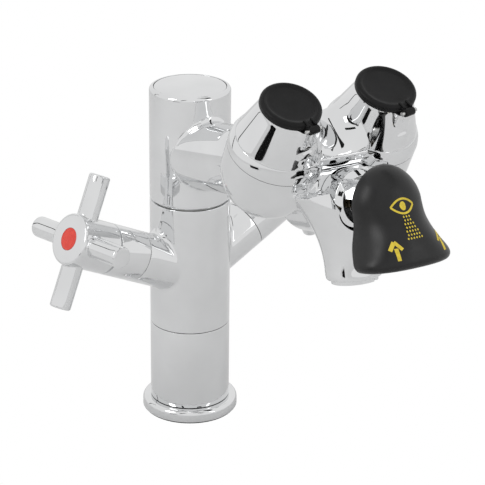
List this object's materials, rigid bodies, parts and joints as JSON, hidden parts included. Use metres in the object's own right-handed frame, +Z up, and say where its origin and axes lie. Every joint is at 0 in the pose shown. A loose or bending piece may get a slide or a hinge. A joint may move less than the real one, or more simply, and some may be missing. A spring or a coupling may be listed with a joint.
{
  "type": "eyewash station",
  "caption": "Deck-mounted mixer tap with a swivelling arm that carries an eyewash with flip-up caps, a lift lever and a spout",
  "frame": {"origin": "centre of the base on the deck, at the middle of the two fixing stud holes", "axes": "+Z up the column, -Y towards the spout and the eyewash heads, +X towards the cold handle"},
  "size_m": [0.2009, 0.2898, 0.2556],
  "materials": {
    "chrome": "polished chrome plate over brass",
    "brass": "machined",
    "steel": "brushed stainless steel",
    "copper": "drawn copper tube",
    "black_plastic": "satin moulded",
    "cap_plastic": "fine matt moulded",
    "rubber": "matt",
    "white_plastic": "moulded acetal",
    "ceramic": "lapped ceramic",
    "red_index": "gloss",
    "blue_index": "gloss"
  },
  "bodies": {
    "base": {"deck_gasket": "rubber", "base_flange": "chrome", "inlet_block": "brass", "lower_sleeve": "chrome", "hot_supply_tube": "copper", "cold_supply_tube": "copper", "mixer_body": "chrome", "swivel_washer": "white_plastic", "swivel_seals": "rubber", "swivel_nut": "brass", "hot_bonnet": "chrome", "cold_bonnet": "chrome", "hot_cartridge": "brass", "cold_cartridge": "brass", "hot_fixed_disc": "ceramic", "cold_fixed_disc": "ceramic"},
    "spout": {"swivel_column": "chrome", "neck_tube": "chrome", "cap_seal": "rubber", "column_cap": "chrome", "eyewash_body": "chrome", "neck_seal": "rubber", "head_cover": "chrome", "left_nozzle": "black_plastic", "right_nozzle": "black_plastic", "left_spray_face": "white_plastic", "right_spray_face": "white_plastic", "left_strainer": "steel", "right_strainer": "steel", "left_cap_pin": "steel", "right_cap_pin": "steel", "valve_bonnet": "chrome", "valve_body": "brass", "lever_pin": "steel", "aerator_housing": "chrome", "aerator_insert": "white_plastic", "aerator_washer": "rubber"},
    "hot_tap": {"hot_moving_disc": "ceramic", "hot_spindle": "brass", "hot_handle": "chrome", "hot_handle_screw": "steel", "hot_index": "red_index"},
    "cold_tap": {"cold_moving_disc": "ceramic", "cold_spindle": "brass", "cold_handle": "chrome", "cold_handle_screw": "steel", "cold_index": "blue_index"},
    "lever_set": {"lever_yoke": "steel", "lever": "black_plastic", "lever_screw": "steel"},
    "spool": {"valve_spool": "brass", "spool_seals": "rubber", "spool_pin": "steel"},
    "left_cap": {"left_dust_cap": "cap_plastic"},
    "right_cap": {"right_dust_cap": "cap_plastic"}
  },
  "joints": [
    {"name": "spout_swivel", "type": "hinge", "parent": "base", "child": "spout", "pos_m": [0, 0, 0.137], "axis": [0, 0, 1], "range_deg": [-45, 45]},
    {"name": "hot_handle_turn", "type": "hinge", "parent": "base", "child": "hot_tap", "pos_m": [0, 0, 0.0897], "axis": [-0.8911, -0.1284, 0.4352], "range_deg": [0, 90]},
    {"name": "cold_handle_turn", "type": "hinge", "parent": "base", "child": "cold_tap", "pos_m": [0, 0, 0.0897], "axis": [-0.8911, -0.1284, -0.4352], "range_deg": [0, 90]},
    {"name": "lever_lift", "type": "hinge", "parent": "spout", "child": "lever_set", "pos_m": [0, -0.20018, 0.21134], "axis": [-1, 0, 0], "range_deg": [0, 30]},
    {"name": "spool_slide", "type": "slide", "parent": "spout", "child": "spool", "axis": [0, -0.9659, 0.2588], "range_m": [0, 0.00442]},
    {"name": "left_cap_flip", "type": "hinge", "parent": "spout", "child": "left_cap", "pos_m": [-0.02568, -0.17573, 0.23898], "axis": [0.9848, 0.1565, 0.0753], "range_deg": [0, 130]},
    {"name": "right_cap_flip", "type": "hinge", "parent": "spout", "child": "right_cap", "pos_m": [0.03232, -0.17573, 0.23898], "axis": [0.9848, 0.1565, 0.0753], "range_deg": [0, 130]}
  ],
  "couplings": [
    {"joint": "spool_slide", "follows": "lever_lift", "m_per_rad": 0.008403}
  ]
}
